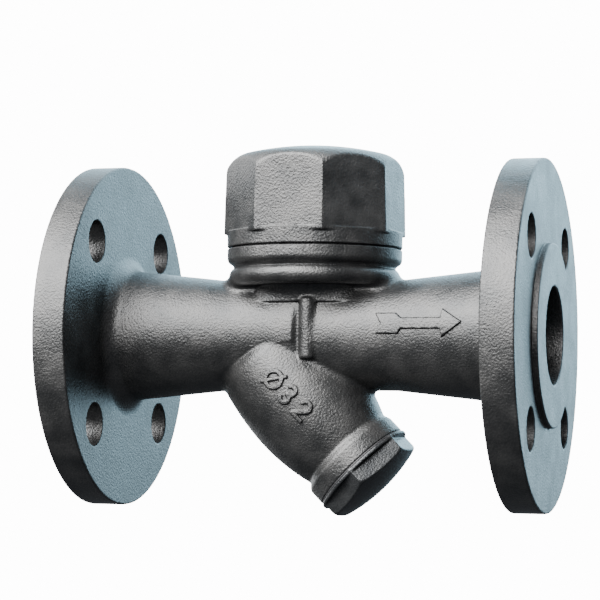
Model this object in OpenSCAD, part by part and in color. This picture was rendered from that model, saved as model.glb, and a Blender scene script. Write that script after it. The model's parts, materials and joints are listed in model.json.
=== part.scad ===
// Flanged thermodynamic disc steam trap with a built-in Y strainer, nominal bore 25.
// Frame: the origin is the centre of the inlet raised face, +X runs with the flow,
// +Z points up through the octagon cap. Millimetres.

/* [Line] */
// Face to face length, from raised face to raised face
face_to_face = 160; // [156:1:170]
// Radius of the port at the raised faces
port_r = 16; // [14:0.5:16.5]
// Radius of the cast bore between the flanges
bore_r = 12.5; // [11.5:0.25:13]
// Outer radius of the pipe around the middle of the casting
pipe_r = 18.2; // [17.8:0.1:19]
// Half length of the straight middle of the pipe
pipe_straight = 28; // [26:1:32]
// Radius that the pipe gains for each millimetre towards a flange
pipe_taper = 0.105; // [0.08:0.005:0.12]

/* [Flanges] */
// Outer diameter of a flange
flange_d = 115; // [108:1:120]
// Thickness of a flange behind its raised face
flange_t = 11; // [10:0.5:14]
// Diameter of the raised face
raised_d = 60; // [56:1:66]
// Height of the raised face
raised_t = 2; // [1.5:0.1:2.5]
// Diameter of the bolt circle
bolt_circle_d = 85; // [84:0.5:88]
// Diameter of a bolt hole
bolt_hole_d = 14; // [12:0.5:15]
// Fillet radius between a flange and its hub
hub_fillet = 5; // [3:0.5:5]

/* [Neck and cap] */
// Distance from the inlet face to the axis of the cap
cap_x = 79; // [78:0.5:81]
// Radius of the ring under the cap
ring_r = 29.2; // [28.5:0.1:30]
// Height of the land that the cap gasket lies on
land_z = 28.5; // [28:0.1:29.5]
// Radius of the threaded spigot
spigot_r = 22.5; // [22:0.1:23]
// Height of the top of the spigot
spigot_top = 42; // [40:0.5:42.5]
// Width across the flats of the octagon, at its foot
octagon_af = 56.4; // [55.5:0.1:57]
// Draft angle of the octagon's flats
octagon_draft = 1.6; // [0:0.1:2]
// Angle at which the octagon came to rest when it was tightened
octagon_turn = -2; // [-22:1:22]
// Height of the top of the cap
cap_top = 63.1; // [62:0.1:65]

/* [Strainer leg] */
// Distance from the inlet face to where the leg's axis crosses the pipe's axis
leg_x = 52.6; // [52:0.1:53.5]
// Largest radius of the leg
leg_r = 20.5; // [20.2:0.1:20.8]
// Distance along the leg to the boss face
boss_a = 61.3; // [60.8:0.1:62]
// Radius of the boss
boss_r = 17.8; // [17.4:0.1:18.2]
// Radius of the plug's thread
plug_thread_r = 14; // [13.6:0.1:14.2]
// Width across the flats of the plug's hexagon
hexagon_af = 31.5; // [30.5:0.5:32.5]
// Outer radius of the strainer tube
screen_r = 9.6; // [9.2:0.1:9.7]
// Radius of a hole in the strainer tube
screen_hole_r = 1.5; // [1:0.1:1.6]
// Holes around the strainer tube
screen_columns = 12; // [8:1:12]
// Rows of holes along the strainer tube
screen_rows = 9; // [6:1:9]

/* [Valve] */
// Radius of the seat and of the inner cover
seat_r = 17.2; // [16.8:0.1:17.2]
// Radius of the disc
disc_r = 12.9; // [12.6:0.1:13.2]
// Thickness of the disc
disc_t = 4; // [3.5:0.1:4]
// Lift of the disc off its seat
disc_lift = 1.2; // [0.8:0.1:1.2]
// Radius of the inlet orifice in the seat
orifice_r = 3; // [2:0.25:3.5]
// Number of outlet holes in the seat
outlet_holes = 3; // [3:1:6]

/* [Raised marks] */
// Height of the flow arrow and the diameter mark above the casting
mark_h = 0.8; // [0.5:0.1:1]
// Height of the characters of the diameter mark
glyph_h = 7.5; // [6:0.1:7.6]
// Width of their strokes
stroke_w = 1.4; // [1.2:0.1:1.5]

/* [Hidden] */
$fn = 64;

EPS = 0.01;                     // makes cutters pass through a face
BEYOND = 50;                    // more than the casting reaches sideways from its middle
THREAD_CLEARANCE = 0.05;        // radial running clearance of both threads
GASKET_T = 0.6;                 // thickness of the cap and plug gaskets
POCKET_GAP = 0.3;               // radial gap round loose inner pieces
DARK = [0.27, 0.28, 0.29];
STEEL = [0.72, 0.73, 0.74];
GRAPHITE = [0.16, 0.16, 0.17];

mid_x = face_to_face / 2;
flange_back = raised_t + flange_t;
hub_end = flange_back + hub_fillet + 2;
taper_end = mid_x - 36;         // where a port has narrowed to the bore

// Neck and seat pocket
ring_h = 5.3;
ring_round = 2.2;
groove_r = 27;
belt_r = 28.5;
belt_round = 3.1;
belt_z = 19.4;
core_r = 16;                    // the neck's foot, a cone above core_z
core_z = 10.5;
core_slope = 0.7;
pad_proud = 0.8;                // the cast pad where the neck lands on the pipe
pad_round = 10;
pad_reach = 18.4;
pad_z = 20.5;
pocket_r = seat_r + POCKET_GAP;
pocket_z = 22;
seat_gasket_t = 0.8;
seat_z = pocket_z + seat_gasket_t;
seat_top = seat_z + 8.5;
channel_r0 = 7.6;               // ring channel under the seat
channel_r1 = 15.4;
channel_h = 2.5;
riser_r = 4.5;                  // passage from the leg up to the seat
riser_foot = -8;
drop_r = 3.8;                   // passage from the ring channel to the outlet
drop_offset = 11.6;
outlet_end = 20;                // inner end of the outlet bore, past the cap axis
outlet_neck_r = 7.5;
outlet_neck_z = 2.5;
inlet_end = 66;

// Cap
cap_z = land_z + GASKET_T;
collar_r = ring_r + 0.05;
collar_top = 33.3;
cap_thread_r = spigot_r + THREAD_CLEARANCE;
jacket_r = 20;
jacket_z = 43;
jacket_top = 54;
octagon_corner = octagon_af / 2 / cos(22.5);
cap_dome = 101;                 // radius of the cap's shallow dome
shoulder_r = 6.5;               // rounding between the dome and the flats
cover_cavity_r = 14;
cover_ceiling = seat_top + disc_t + disc_lift + 0.05;
cover_top = 42;
cover_boss_top = 44;
boss_pad_r = 7;

// Leg
leg_round = 70;                 // radius of the leg's barrel, along its length
leg_round_up = 100;             // and above its widest place
leg_widest = 30;                // distance along the barrel to that place
barrel_start = 6.7;
barrel_tilt = 4;                // the barrel is cast steeper than the bore it holds
barrel_pivot = 55;              // and crosses the bore's axis this far down
cavity_round = 70;
cavity_widest = 32;
cavity_r = leg_r - 6.6;
screen_land = 11;               // machined step that the strainer's end sits in
land_hole_r = screen_r - 1;
boss_shoulder = 2;
boss_start = 54.5;
thread_start = boss_a - 10.5;
screen_start = screen_land + 0.2;
screen_end = 58;
screen_wall = 0.7;
band_r0 = screen_r + 0.02;
band_r1 = screen_r + 0.7;
recess_r = band_r1 + POCKET_GAP;
plug_z = boss_a + GASKET_T;
rim_t = 1.2;
rim_r = 18.2;
head_r = 18.9;
head_round = 2.2;
head_start = plug_z + rim_t;
head_end = plug_z + 8.9;
head_dome = 58;

// Marks, measured from the middle of the casting and along the leg
arrow_x = mid_x + 24.7;
arrow_z = 3.4;
mark_a = 30.7;
mark_turn = -7.7;
mark_pitch = 7;
rib_x = mid_x + 1.5;
rib_r = 2.6;
rib_proud = 1;
rib_z = -8;
rib_h = 20;
notch_x = rib_x - 3.3;
notch_r = 1.8;
notch_out = 0.5;

function pipe_radius(x) = pipe_r + pipe_taper * max(0, abs(x - mid_x) - pipe_straight);

// ---------- placing ----------
module along_pipe(x = 0) translate([x, 0, 0]) rotate([0, 90, 0]) children();
module on_cap_axis(z = 0) translate([cap_x, 0, z]) children();
module along_leg(a = 0) translate([leg_x, 0, 0]) rotate([0, 135, 0]) translate([0, 0, a]) children();
module at_outlet() translate([face_to_face, 0, 0]) mirror([1, 0, 0]) children();
module tube(r0, r1, z0, z1) rotate_extrude() translate([r0, z0]) square([r1 - r0, z1 - z0]);

// ---------- casting: pipe, neck and leg ----------
module pipe_shell(extra = 0) {
    along_pipe() rotate_extrude() polygon([
        [0, hub_end], [pipe_radius(hub_end) + extra, hub_end],
        [pipe_r + extra, mid_x - pipe_straight], [pipe_r + extra, mid_x + pipe_straight],
        [pipe_radius(hub_end) + extra, face_to_face - hub_end], [0, face_to_face - hub_end]]);
}

module neck() {
    on_cap_axis() rotate_extrude() {
        translate([0, land_z - ring_h]) square([ring_r - ring_round, ring_h]);
        translate([0, land_z - ring_h + ring_round]) square([ring_r, ring_h - ring_round]);
        translate([ring_r - ring_round, land_z - ring_h + ring_round]) circle(ring_round);
        translate([0, belt_z]) square([groove_r, land_z - belt_z - 1]);
        translate([0, belt_z - belt_round]) square([belt_r - belt_round, 2 * belt_round]);
        translate([belt_r - belt_round, belt_z]) circle(belt_round);
        polygon([[0, 0], [core_r, 0], [core_r, core_z],
                 [core_r + core_slope * (belt_z - core_z), belt_z], [0, belt_z]]);
        translate([0, land_z - EPS]) square([spigot_r, spigot_top - land_z]);
    }
}

module neck_pad() {
    intersection() {
        on_cap_axis() rotate_extrude() {
            translate([0, pad_z - pad_round]) square([pad_reach, pad_round]);
            intersection() {
                translate([pad_reach, pad_z]) circle(pad_round);
                translate([pad_reach - EPS, pad_z - pad_round]) square(pad_round + EPS);
            }
        }
        pipe_shell(pad_proud);
    }
}

module leg_barrel(extra = 0) {
    along_leg(barrel_pivot) rotate([0, barrel_tilt, 0]) translate([0, 0, -barrel_pivot])
        rotate_extrude() {
            intersection() {
                translate([leg_r - leg_round, leg_widest]) circle(leg_round + extra, $fn = 192);
                translate([0, leg_widest]) square([leg_r + extra, boss_start + boss_shoulder - leg_widest]);
            }
            intersection() {
                translate([leg_r - leg_round_up, leg_widest]) circle(leg_round_up + extra, $fn = 256);
                polygon([[0, barrel_start], [leg_r - 7.5, barrel_start], [leg_r - 3.1, barrel_start + 3],
                         [leg_r + extra, barrel_start + 7], [leg_r + extra, leg_widest], [0, leg_widest]]);
            }
        }
}

module leg_boss() {
    along_leg() rotate_extrude() {
        translate([0, boss_start + boss_shoulder]) square([boss_r, boss_a - boss_start - boss_shoulder]);
        translate([0, boss_start]) square([boss_r - boss_shoulder, boss_shoulder + EPS]);
        translate([boss_r - boss_shoulder, boss_start + boss_shoulder]) circle(boss_shoulder);
    }
}

module ribs() {
    for (side = [-1, 1])
        translate([rib_x, side * (pipe_r + rib_proud - rib_r), rib_z]) cylinder(r = rib_r, h = rib_h);
}

module notches() {
    for (side = [-1, 1])
        translate([notch_x, side * (pipe_r + notch_out), rib_z]) cylinder(r = notch_r, h = core_z - rib_z);
}

// ---------- raised marks ----------
module arrow_outline() {
    polygon([[0, -3.3], [7.6, -3.3], [8.6, -1.7], [21.9, -1.7], [22.4, -4.4],
             [29, 0.4], [22.4, 4.6], [21.9, 1.7], [8.6, 1.7], [6.8, 3.3], [0, 3.3], [1.9, 0]]);
}

module arc_stroke(r, from, to) {
    sides = 4;
    intersection() {
        difference() {
            circle(r + stroke_w / 2);
            circle(r - stroke_w / 2);
        }
        polygon(concat([[0, 0]], [for (i = [0:sides])
            2 * glyph_h * [cos(from + (to - from) * i / sides), sin(from + (to - from) * i / sides)]]));
    }
}

module glyph_diameter() {
    arc_r = glyph_h / 2 - 1;
    difference() {
        circle(arc_r + stroke_w / 2);
        circle(arc_r - stroke_w / 2);
    }
    rotate(55) square([glyph_h + 1.6, 1.1], center = true);
}

module glyph_three() {
    bowl = (glyph_h - stroke_w) / 4;
    for (side = [-1, 1])
        translate([0, side * bowl]) mirror([0, side < 0 ? 1 : 0]) arc_stroke(bowl, -90, 150);
}

module glyph_two() {
    bowl = (glyph_h - stroke_w) / 3.6;
    foot = -glyph_h / 2;
    translate([0, glyph_h / 2 - stroke_w / 2 - bowl]) arc_stroke(bowl, -35, 165);
    translate([-bowl - 0.6, foot]) square([2 * bowl + 1.2, stroke_w]);
    polygon([[-bowl - 0.6, foot + stroke_w], [-bowl + 1.3, foot + stroke_w],
             [bowl + 0.4, 0.6], [bowl - 0.9, 1.4]]);
}

module raised_arrow() {
    intersection() {
        translate([arrow_x, 0, arrow_z]) rotate([90, 0, 0]) linear_extrude(BEYOND) arrow_outline();
        pipe_shell(mark_h);
    }
}

module raised_mark() {
    intersection() {
        along_leg(mark_a) rotate([0, 0, mark_turn]) rotate([90, 0, 0])
            linear_extrude(BEYOND) rotate(90) {
                translate([-mark_pitch, 0]) glyph_diameter();
                glyph_three();
                translate([mark_pitch, 0]) glyph_two();
            }
        leg_barrel(mark_h);
    }
}

// ---------- hollows of the casting ----------
module port_bore() {
    along_pipe(-EPS) cylinder(r = port_r, h = flange_back + 2 * EPS);
    along_pipe(flange_back) cylinder(r1 = port_r, r2 = bore_r, h = taper_end - flange_back);
}

module inlet_hollow() {
    port_bore();
    difference() {
        along_pipe(taper_end - EPS) cylinder(r = bore_r, h = inlet_end - taper_end);
        along_leg(screen_land - 3) translate([-BEYOND, -BEYOND, 0]) cube(2 * BEYOND);
    }
    along_leg(-2) cylinder(r = land_hole_r, h = screen_land + 3);
}

module leg_hollow() {
    along_leg() rotate_extrude() {
        intersection() {
            translate([cavity_r - cavity_round, cavity_widest]) circle(cavity_round, $fn = 192);
            translate([0, screen_land + 3]) square([cavity_r, thread_start - screen_land - 2]);
        }
        translate([0, screen_land]) square([recess_r, 6]);
        translate([0, thread_start]) square([plug_thread_r + THREAD_CLEARANCE, 20]);
    }
}

module riser() on_cap_axis(riser_foot) cylinder(r = riser_r, h = pocket_z - riser_foot + EPS);

module seat_pocket() {
    on_cap_axis(pocket_z) cylinder(r = pocket_r, h = spigot_top - pocket_z + EPS);
    on_cap_axis() tube(channel_r0, channel_r1, pocket_z - channel_h, pocket_z + EPS);
}

module outlet_hollow() {
    at_outlet() port_bore();
    outlet_from = cap_x + outlet_end + 1;
    along_pipe(outlet_from)
        cylinder(r = bore_r, h = face_to_face - taper_end - outlet_from + EPS);
    translate([cap_x + 9, 0, outlet_neck_z]) along_pipe()
        cylinder(r = outlet_neck_r, h = outlet_end - 6);
    translate([cap_x + drop_offset, 0, outlet_neck_z]) cylinder(r = drop_r, h = pocket_z - channel_h);
}

module trap_body() {
    color(DARK) difference() {
        union() {
            difference() {
                union() {
                    pipe_shell();
                    neck();
                    neck_pad();
                }
                notches();
            }
            leg_barrel();
            leg_boss();
            ribs();
            raised_arrow();
            raised_mark();
        }
        inlet_hollow();
        leg_hollow();
        riser();
        seat_pocket();
        outlet_hollow();
    }
}

// ---------- flanges ----------
module flange_section() {
    difference() {
        union() {
            square([raised_d / 2, raised_t + EPS]);
            translate([0, raised_t]) square([flange_d / 2, flange_t]);
            polygon([[0, flange_back - EPS], [pipe_radius(flange_back), flange_back - EPS],
                     [pipe_radius(hub_end), hub_end], [0, hub_end]]);
            translate([0, flange_back - EPS])
                square([pipe_radius(flange_back + hub_fillet) + hub_fillet, hub_fillet]);
        }
        translate([pipe_radius(flange_back + hub_fillet) + hub_fillet, flange_back + hub_fillet])
            circle(hub_fillet);
    }
}

module flange() {
    difference() {
        along_pipe() difference() {
            rotate_extrude($fn = 128) flange_section();
            for (i = [0:3])
                rotate(45 + 90 * i) translate([bolt_circle_d / 2, 0, -1])
                    cylinder(d = bolt_hole_d, h = flange_back + 2);
        }
        port_bore();
    }
}

module inlet_flange() color(DARK) flange();
module outlet_flange() color(DARK) at_outlet() flange();

// ---------- valve ----------
module valve_seat() {
    land_r = orifice_r + 2.2;       // inner lapped land
    channel = [land_r, 10.4];
    color(STEEL) on_cap_axis() difference() {
        rotate_extrude() difference() {
            translate([orifice_r, seat_z]) square([seat_r - orifice_r, seat_top - seat_z]);
            translate([channel[0], seat_top - 2]) square([channel[1] - channel[0], 3]);
            translate([0, seat_z - 1]) square([riser_r, 3]);
        }
        for (i = [0:outlet_holes - 1])
            rotate(30 + 360 * i / outlet_holes)
                translate([(channel_r0 + channel[1]) / 2, 0, seat_z - 1]) cylinder(r = 1.3, h = 12);
    }
}

module seat_inner_gasket()
    color(GRAPHITE) on_cap_axis() tube(riser_r + 0.3, channel_r0 - 0.2, pocket_z, seat_z);

module seat_outer_gasket()
    color(GRAPHITE) on_cap_axis() tube(channel_r1 + 0.2, seat_r, pocket_z, seat_z);

module valve_disc() {
    color(STEEL) on_cap_axis() rotate_extrude() difference() {
        translate([0, seat_top]) square([disc_r, disc_t]);
        translate([6, seat_top - EPS]) square([3, 0.8]);
        translate([disc_r - 1.5, seat_top + disc_t - 0.8]) square([2, 1]);
    }
}

module inner_cover() {
    color(STEEL) on_cap_axis() rotate_extrude() difference() {
        union() {
            translate([0, seat_top]) square([seat_r, cover_top - seat_top - 3]);
            translate([0, seat_top]) square([seat_r - 3, cover_top - seat_top]);
            translate([seat_r - 3, cover_top - 3]) circle(3);
            translate([0, cover_top - EPS]) square([boss_pad_r, cover_boss_top - cover_top]);
        }
        translate([0, seat_top - EPS]) square([cover_cavity_r, cover_ceiling - seat_top]);
    }
}

// ---------- cap ----------
module cap_gasket() color(GRAPHITE) on_cap_axis() tube(spigot_r + 1.5, ring_r - 1.4, land_z, cap_z);

module cap_section() {
    dome_centre = cap_top - cap_dome;
    shoulder_x = octagon_corner - shoulder_r;
    reach = cap_dome - shoulder_r;
    shoulder_z = dome_centre + sqrt(reach * reach - shoulder_x * shoulder_x);
    tangent_x = shoulder_x * cap_dome / reach;
    translate([0, collar_top]) square([octagon_corner, shoulder_z - collar_top]);
    translate([shoulder_x, shoulder_z]) circle(shoulder_r);
    intersection() {
        translate([0, dome_centre]) circle(cap_dome, $fn = 256);
        translate([0, collar_top]) square([tangent_x, cap_top]);
    }
}

module octagon_head() {
    difference() {
        rotate_extrude($fn = 96) cap_section();
        for (i = [0:7])
            rotate(45 * i) translate([octagon_af / 2, 0, collar_top]) rotate([0, -octagon_draft, 0])
                translate([0, -40, -40]) cube([20, 80, 120]);
    }
}

module cap() {
    color(DARK) on_cap_axis() difference() {
        union() {
            translate([0, 0, cap_z]) cylinder(r = collar_r, h = collar_top - cap_z + EPS);
            rotate(octagon_turn) octagon_head();
        }
        translate([0, 0, cap_z - 1]) cylinder(r = cap_thread_r, h = jacket_z - cap_z + 1);
        difference() {
            translate([0, 0, jacket_z - EPS]) cylinder(r = jacket_r, h = jacket_top - jacket_z);
            translate([0, 0, cover_boss_top + THREAD_CLEARANCE]) cylinder(r = boss_pad_r + 1, h = 20);
        }
    }
}

// ---------- strainer ----------
module screen_tube() {
    row_pitch = 4.2;
    first_row = (screen_start + screen_end - row_pitch * (screen_rows - 1)) / 2;
    color(STEEL) along_leg() difference() {
        tube(screen_r - screen_wall, screen_r, screen_start, screen_end);
        for (row = [0:screen_rows - 1], column = [0:screen_columns - 1])
            rotate(360 / screen_columns * (column + (row % 2) / 2))
                translate([screen_r - 3, 0, first_row + row * row_pitch])
                    rotate([0, 90, 0]) cylinder(r = screen_hole_r, h = 6, $fn = 24);
    }
}

module screen_mesh() {
    outer = screen_r - screen_wall - 0.05;
    color(STEEL) along_leg() tube(outer - 0.2, outer, screen_start + 0.5, screen_end - 0.5);
}

module screen_band(a0, a1) color(STEEL) along_leg() tube(band_r0, band_r1, a0, a1);
module screen_top_ring() screen_band(screen_start, screen_start + 2.5);
module screen_bottom_ring() screen_band(screen_end - 4, screen_end);

// ---------- plug ----------
module plug_gasket()
    color(GRAPHITE) along_leg() tube(plug_thread_r + 0.3, boss_r - 0.2, boss_a, plug_z);

module plug_head_section() {
    dome_centre = head_end - head_dome;
    round_x = head_r - head_round;
    reach = head_dome - head_round;
    round_z = dome_centre + sqrt(reach * reach - round_x * round_x);
    translate([0, head_start - EPS]) square([head_r, round_z - head_start + EPS]);
    translate([round_x, round_z]) circle(head_round);
    intersection() {
        translate([0, dome_centre]) circle(head_dome, $fn = 256);
        translate([0, head_start]) square([round_x * head_dome / reach, head_end]);
    }
}

module strainer_plug() {
    shank_end = boss_a - 9.3;
    color(DARK) along_leg() difference() {
        union() {
            translate([0, 0, shank_end]) cylinder(r = plug_thread_r, h = plug_z - shank_end + EPS);
            translate([0, 0, plug_z]) cylinder(r = rim_r, h = rim_t);
            intersection() {
                rotate_extrude($fn = 96) plug_head_section();
                rotate(30) translate([0, 0, head_start - 1])
                    cylinder(d = hexagon_af / cos(30), h = 20, $fn = 6);
            }
        }
        translate([0, 0, shank_end - 1]) cylinder(r = recess_r, h = screen_end - shank_end + 1.2);
    }
}

trap_body();
inlet_flange();
outlet_flange();
valve_seat();
seat_inner_gasket();
seat_outer_gasket();
valve_disc();
inner_cover();
cap_gasket();
cap();
screen_tube();
screen_mesh();
screen_top_ring();
screen_bottom_ring();
plug_gasket();
strainer_plug();
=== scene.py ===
"""Looks of a flanged disc steam trap with a built-in Y strainer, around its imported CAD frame.

Shapes are worked out in millimetres, from the frame's boxes and joints, and scaled to metres
when a mesh is made. Cast pieces are distance fields that are polygonised, and turned pieces are
lathed profiles. Raised marks, threads and edge roundings are geometry; only grain is bump.
"""

import json
import math

import bmesh
import bpy
import numpy as np
from mathutils import Matrix, Vector


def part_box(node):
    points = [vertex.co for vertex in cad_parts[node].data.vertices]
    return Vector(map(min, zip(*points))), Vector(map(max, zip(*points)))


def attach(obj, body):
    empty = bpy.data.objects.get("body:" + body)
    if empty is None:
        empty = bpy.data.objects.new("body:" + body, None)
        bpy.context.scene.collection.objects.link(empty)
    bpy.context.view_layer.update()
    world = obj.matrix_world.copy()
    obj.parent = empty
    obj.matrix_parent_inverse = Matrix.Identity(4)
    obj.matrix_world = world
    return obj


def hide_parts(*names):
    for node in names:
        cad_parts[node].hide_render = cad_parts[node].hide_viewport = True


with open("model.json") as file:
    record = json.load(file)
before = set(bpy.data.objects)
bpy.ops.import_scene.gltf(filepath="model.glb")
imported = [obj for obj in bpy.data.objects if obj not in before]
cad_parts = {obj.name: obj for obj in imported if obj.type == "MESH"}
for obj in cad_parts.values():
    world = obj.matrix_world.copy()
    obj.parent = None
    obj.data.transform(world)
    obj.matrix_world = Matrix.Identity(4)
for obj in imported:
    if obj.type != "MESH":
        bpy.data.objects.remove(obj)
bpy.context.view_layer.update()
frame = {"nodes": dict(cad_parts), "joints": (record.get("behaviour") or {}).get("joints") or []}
MM = 0.001


# ---------------------------------------------------------------- sizes from the frame
def box_mm(node):
    low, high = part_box(node)
    return np.array(low) / MM, np.array(high) / MM


def joint(name):
    return next(j for j in frame["joints"] if j["name"] == name)


def size(value):
    """A frame size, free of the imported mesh's last digits."""
    return round(float(value), 2)


FACE_TO_FACE = size(box_mm("outlet_flange")[1][0])
MIDDLE = FACE_TO_FACE / 2
FLANGE_R = size(box_mm("inlet_flange")[1][2])
HUB_END = size(box_mm("inlet_flange")[1][0])
RING_R = size(box_mm("trap_body")[1][1])
LAND_Z = size(box_mm("cap_gasket")[0][2])
CAP_Z = size(box_mm("cap_gasket")[1][2])
CAP_TOP = size(box_mm("cap")[1][2])
SPIGOT_TOP = size(box_mm("trap_body")[1][2])
CAP_X = size(joint("cap_turn")["pos_m"][0] / MM)
SEAT_Z, SEAT_TOP = (size(v[2]) for v in box_mm("valve_seat"))
COVER_TOP = size(box_mm("inner_cover")[1][2])

LEG_X = size(joint("plug_turn")["pos_m"][0] / MM)
LEG_AXIS = np.array(joint("plug_turn")["axis"])
LEG_SIDE = np.array([-LEG_AXIS[2], 0.0, LEG_AXIS[0]])    # across the leg, up and to the right

# The same driving sizes as the CAD's, in millimetres
PIPE_R, PIPE_STRAIGHT, PIPE_TAPER = 18.2, 28.0, 0.105
PORT_R, BORE_R, TAPER_END = 16.0, 12.5, 44.0
RAISED_R, RAISED_T, FLANGE_BACK, HUB_FILLET = 30.0, 2.0, 13.0, 5.0
BOLT_R, BOLT_CIRCLE_R = 7.0, 42.5
RING_H, RING_ROUND, GROOVE_R, BELT_R, BELT_ROUND, BELT_Z = 5.3, 2.2, 27.0, 28.5, 3.1, 19.4
CORE_R, CORE_Z, CORE_SLOPE = 16.0, 10.5, 0.7
PAD_PROUD, PAD_ROUND, PAD_REACH, PAD_Z = 0.8, 10.0, 18.4, 20.5
SPIGOT_R, THREAD_PITCH, THREAD_DEPTH = 22.5, 2.0, 1.15
THREAD_GAP, THREAD_RELIEF = 0.12, 1.5
POCKET_R, POCKET_Z, CHANNEL_R0, CHANNEL_R1 = 17.5, 22.0, 7.6, 15.4
RISER_R, RISER_FOOT, DROP_R, DROP_OFFSET, INLET_END = 4.5, -8.0, 3.8, 11.6, 66.0
JACKET_R, JACKET_Z, JACKET_TOP, PAD_R = 20.0, 43.0, 54.0, 8.0
LEG_R, LEG_ROUND_UP, LEG_ROUND, LEG_WIDEST = 20.5, 100.0, 70.0, 30.0
BARREL_TILT, BARREL_PIVOT, BARREL_START, BARREL_END_ROUND = math.radians(4), 55.0, 8.7, 6.0
BOSS_A, BOSS_R, BOSS_START = 61.3, 17.8, 54.5
PLUG_THREAD_R, SCREEN_LAND, RECESS_R = 14.0, 11.0, 10.6
CAVITY_R, CAVITY_ROUND, CAVITY_WIDEST, THREAD_START = 13.9, 70.0, 32.0, 50.8
SCREEN_R, SCREEN_WALL, SCREEN_A0, SCREEN_A1 = 9.6, 0.7, 11.2, 58.0
PLUG_A, RIM_T, RIM_R, HEAD_R, HEAD_TOP, HEXAGON_AF = 61.9, 1.2, 18.2, 18.9, 70.8, 31.5
COLLAR_TOP, OCTAGON_AF, OCTAGON_DRAFT, OCTAGON_TURN = 33.3, 56.4, 1.6, -2.0
SEAT_R, ORIFICE_R, DISC_R, DISC_T, COVER_FLAT = 17.2, 3.0, 12.9, 4.0, 42.0
MARK_H = 0.8
# Only in this model: fillets, and how the skirt under the neck fades out along the pipe
NECK_FILLET, SKIRT_FILLET, BOSS_FILLET, COLLAR_FILLET = 3.5, 5.0, 1.6, 1.0
SKIRT_REACH, SKIRT_DROP = 24.0, 2.2
LEG_FILLET, LEG_FILLET_MORE, LEG_FILLET_Z, LEG_FILLET_SPAN = 0.7, 1.8, -6.0, 9.0
SEAT_GROOVE_R, SEAT_HOLE_R = 10.4, 1.3


# ---------------------------------------------------------------- distance fields
def round_union(a, b, r):
    """Both solids, with a fillet of radius r where they meet."""
    return np.maximum(r, np.minimum(a, b)) - np.hypot(np.maximum(r - a, 0), np.maximum(r - b, 0))


def round_both(a, b, r):
    """What is in both solids, with an edge of radius r."""
    return np.minimum(-r, np.maximum(a, b)) + np.hypot(np.maximum(r + a, 0), np.maximum(r + b, 0))


def round_cut(a, b, r):
    """Solid a without solid b, with an edge of radius r."""
    return round_both(a, -b, r)


def between(along, low, high):
    """A slab from low to high."""
    return np.abs(along - (low + high) / 2) - (high - low) / 2


def ring(distance, along, r0, r1, low, high):
    """A plain ring or, with r0 at 0, a disc."""
    return np.maximum(np.abs(distance - (r0 + r1) / 2) - (r1 - r0) / 2, between(along, low, high))


def screw(radius, along, angle):
    """Radius of a right-hand thread with round crests and roots, and crests of that radius."""
    phase = along / THREAD_PITCH - angle / (2 * np.pi)
    wave = 0.5 - 0.5 * np.cos(2 * np.pi * phase)
    return radius - THREAD_DEPTH * (1 - np.clip(1.35 * wave - 0.12, 0, 1))


def leg_frame(p):
    """(along the leg, across it and up to the right, radius) of points in the row frame."""
    w = p - np.array([LEG_X, 0, 0])
    along, across = w @ LEG_AXIS, w @ LEG_SIDE
    return along, across, np.hypot(across, p[:, 1])


def pipe_radius(x):
    """Outside radius of the pipe, which widens towards both flanges."""
    return PIPE_R + PIPE_TAPER * np.maximum(0, np.abs(x - MIDDLE) - PIPE_STRAIGHT)


def stroke(s, t, points, half):
    """Distance from a line of that half width through points, in a flat drawing."""
    best = np.full(len(s), 1e3)
    for (s0, t0), (s1, t1) in zip(points[:-1], points[1:]):
        ds, dt = s1 - s0, t1 - t0
        k = np.clip(((s - s0) * ds + (t - t0) * dt) / max(ds * ds + dt * dt, 1e-9), 0, 1)
        best = np.minimum(best, np.hypot(s - s0 - k * ds, t - t0 - k * dt))
    return best - half


def outline(s, t, points):
    """Signed distance from a closed outline in a flat drawing, negative inside."""
    best, inside = np.full(len(s), 1e3), np.zeros(len(s), bool)
    for (s0, t0), (s1, t1) in zip(points, points[1:] + points[:1]):
        ds, dt = s1 - s0, t1 - t0
        k = np.clip(((s - s0) * ds + (t - t0) * dt) / (ds * ds + dt * dt), 0, 1)
        best = np.minimum(best, np.hypot(s - s0 - k * ds, t - t0 - k * dt))
        if dt:
            inside ^= ((t0 > t) != (t1 > t)) & (s < s0 + ds * (t - t0) / dt)
    return np.where(inside, -best, best)


def arc(cs, ct, r, start, stop, steps=14):
    """Points on an arc about (cs, ct), from start to stop in degrees."""
    turns = np.radians(np.linspace(start, stop, steps))
    return [(cs + r * math.cos(q), ct + r * math.sin(q)) for q in turns]


# ---------------------------------------------------------------- the casting
ARROW = [(0, -3.3), (7.6, -3.3), (8.6, -1.7), (21.9, -1.7), (22.4, -4.4), (29, 0.4),
         (22.4, 4.6), (21.9, 1.7), (8.6, 1.7), (6.8, 3.3), (0, 3.3), (1.9, 0)]
ARROW_X, ARROW_Z = MIDDLE + 24.7, 3.4
GLYPH_H, STROKE, MARK_PITCH, MARK_A, MARK_TURN = 7.5, 1.4, 7.0, 30.7, math.radians(7.7)
RIB_X, RIB_R, RIB_PROUD, RIB_LOW, RIB_HIGH = MIDDLE + 1.5, 2.6, 0.9, -8.0, 12.0
NOTCH_OFFSET, NOTCH_OUT, NOTCH_R = 2.7, 0.7, 2.0


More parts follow.
